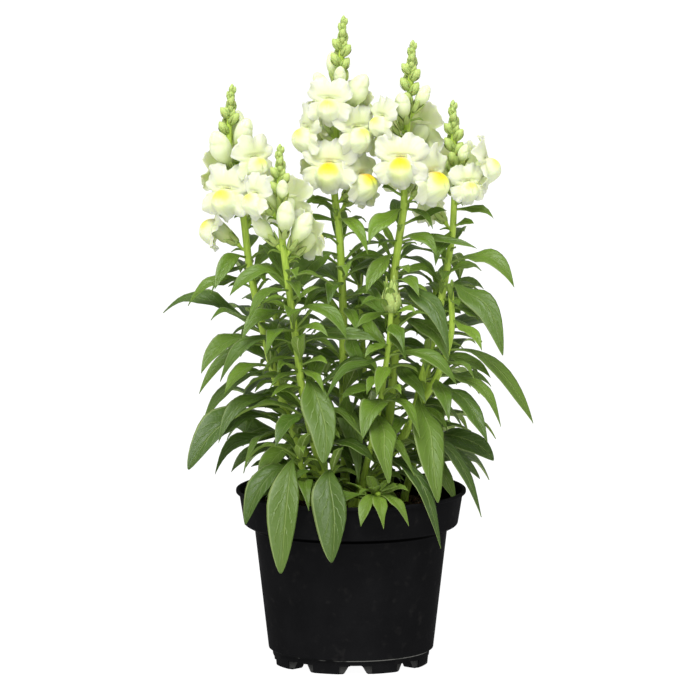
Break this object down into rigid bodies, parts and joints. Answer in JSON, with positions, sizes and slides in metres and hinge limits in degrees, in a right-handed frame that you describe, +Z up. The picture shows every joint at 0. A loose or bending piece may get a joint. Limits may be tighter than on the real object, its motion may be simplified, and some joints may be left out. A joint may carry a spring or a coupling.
{
  "type": "snapdragon plant in a pot",
  "caption": "White snapdragon in bloom: upright flowering stems with two-lipped flowers, buds and narrow leaves, growing in a round black nursery pot of soil.",
  "frame": {"origin": "on the floor under the middle of the plant and pot, at the centre of the pot's foot", "axes": "+Z up along the stems, -Y towards the front that the picture shows, +X to the right in it"},
  "size_m": [0.193, 0.1425, 0.3397],
  "materials": {
    "pot_plastic": "satin",
    "potting_soil": "matte",
    "green_growth": "satin",
    "petals": "matte",
    "bud_petals": "matte"
  },
  "bodies": {
    "root": {"pot": "pot_plastic", "soil": "potting_soil", "flowering_stem_1": "green_growth", "flowering_stem_2": "green_growth", "flowering_stem_3": "green_growth", "flowering_stem_4": "green_growth", "flowering_stem_5": "green_growth", "leafy_shoot_1": "green_growth", "leafy_shoot_2": "green_growth", "leafy_shoot_3": "green_growth", "leafy_shoot_4": "green_growth", "leafy_shoot_5": "green_growth", "leafy_shoot_6": "green_growth", "flower_01": "petals", "flower_02": "petals", "flower_03": "petals", "flower_04": "petals", "flower_05": "petals", "flower_06": "petals", "flower_07": "petals", "flower_08": "petals", "flower_09": "petals", "flower_10": "petals", "flower_11": "petals", "flower_12": "petals", "flower_13": "petals", "flower_14": "petals", "flower_15": "petals", "flower_16": "petals", "flower_17": "petals", "flower_18": "petals", "flower_19": "petals", "flower_20": "petals", "flower_21": "petals", "flower_22": "petals", "flower_23": "petals", "flower_24": "petals", "flower_25": "petals", "flower_26": "petals", "flower_27": "petals", "white_bud_01": "bud_petals", "white_bud_02": "bud_petals", "white_bud_03": "bud_petals", "white_bud_04": "bud_petals", "white_bud_05": "bud_petals", "white_bud_06": "bud_petals", "white_bud_07": "bud_petals", "white_bud_08": "bud_petals", "white_bud_09": "bud_petals", "white_bud_10": "bud_petals", "white_bud_11": "bud_petals", "white_bud_12": "bud_petals", "white_bud_13": "bud_petals", "white_bud_14": "bud_petals", "white_bud_15": "bud_petals", "white_bud_16": "bud_petals", "white_bud_17": "bud_petals", "white_bud_18": "bud_petals"}
  },
  "joints": []
}
